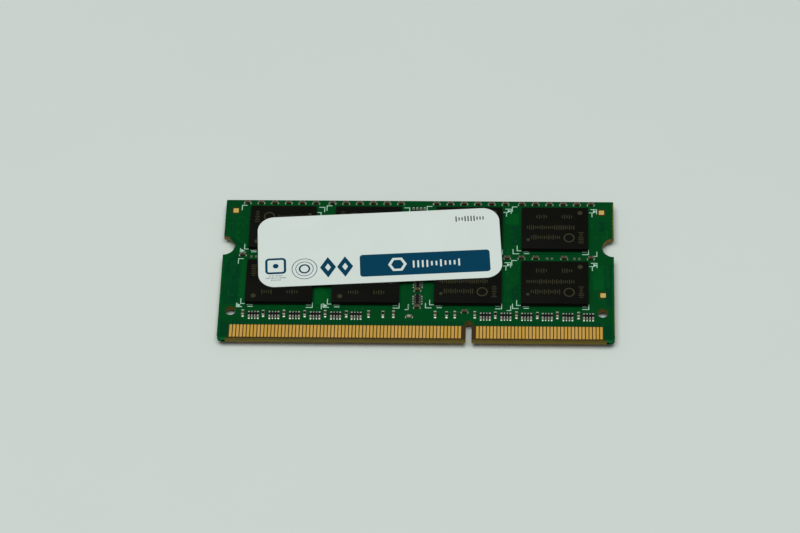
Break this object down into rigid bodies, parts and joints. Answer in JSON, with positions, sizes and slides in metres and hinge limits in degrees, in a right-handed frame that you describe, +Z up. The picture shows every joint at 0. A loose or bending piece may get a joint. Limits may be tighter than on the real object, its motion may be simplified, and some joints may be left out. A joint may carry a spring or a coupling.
{
  "type": "laptop memory module",
  "caption": "Small-outline memory module: a thin notched circuit board with gold edge contacts, memory packages on both faces, chip capacitors, resistor arrays and a label.",
  "frame": {"origin": "under the board's centre, level with the lowest faces of the packages on the underside", "axes": "+X along the board's long side, +Y away from the contact edge, +Z up out of the face that carries the label"},
  "size_m": [0.0676, 0.03, 0.0033],
  "materials": {
    "board": "green solder mask over glass-epoxy laminate, satin gloss, with gold-plated contact lands",
    "memory_package": "black moulding compound, fine matt grain, laser-marked",
    "identity_memory": "black moulding compound with tinned leads",
    "resistor_array": "black glazed alumina chip with tinned terminals",
    "capacitor": "tan-brown ceramic chip with tinned end caps",
    "label": "white printed vinyl, satin"
  },
  "bodies": {
    "root": {"board": "board", "identity_memory": "identity_memory", "label": "label", "memory_top_1": "memory_package", "memory_top_2": "memory_package", "memory_top_3": "memory_package", "memory_top_4": "memory_package", "memory_top_5": "memory_package", "memory_top_6": "memory_package", "memory_top_7": "memory_package", "memory_top_8": "memory_package", "memory_bottom_1": "memory_package", "memory_bottom_2": "memory_package", "memory_bottom_3": "memory_package", "memory_bottom_4": "memory_package", "memory_bottom_5": "memory_package", "memory_bottom_6": "memory_package", "memory_bottom_7": "memory_package", "memory_bottom_8": "memory_package", "resistor_array_1": "resistor_array", "resistor_array_2": "resistor_array", "resistor_array_3": "resistor_array", "resistor_array_4": "resistor_array", "resistor_array_5": "resistor_array", "resistor_array_6": "resistor_array", "resistor_array_7": "resistor_array", "resistor_array_8": "resistor_array", "resistor_array_9": "resistor_array", "resistor_array_10": "resistor_array", "resistor_array_11": "resistor_array", "resistor_array_12": "resistor_array", "resistor_array_13": "resistor_array", "resistor_array_14": "resistor_array", "edge_capacitor_1": "capacitor", "edge_capacitor_2": "capacitor", "edge_capacitor_3": "capacitor", "edge_capacitor_4": "capacitor", "edge_capacitor_5": "capacitor", "edge_capacitor_6": "capacitor", "edge_capacitor_7": "capacitor", "edge_capacitor_8": "capacitor", "edge_capacitor_9": "capacitor", "edge_capacitor_10": "capacitor", "edge_capacitor_11": "capacitor", "edge_capacitor_12": "capacitor", "edge_capacitor_13": "capacitor", "edge_capacitor_14": "capacitor", "edge_capacitor_15": "capacitor", "edge_capacitor_16": "capacitor", "edge_capacitor_17": "capacitor", "edge_capacitor_18": "capacitor", "edge_capacitor_19": "capacitor", "edge_capacitor_20": "capacitor", "edge_capacitor_21": "capacitor", "edge_capacitor_22": "capacitor", "edge_capacitor_23": "capacitor", "edge_capacitor_24": "capacitor", "middle_capacitor_1": "capacitor", "middle_capacitor_2": "capacitor", "middle_capacitor_3": "capacitor"}
  },
  "joints": []
}
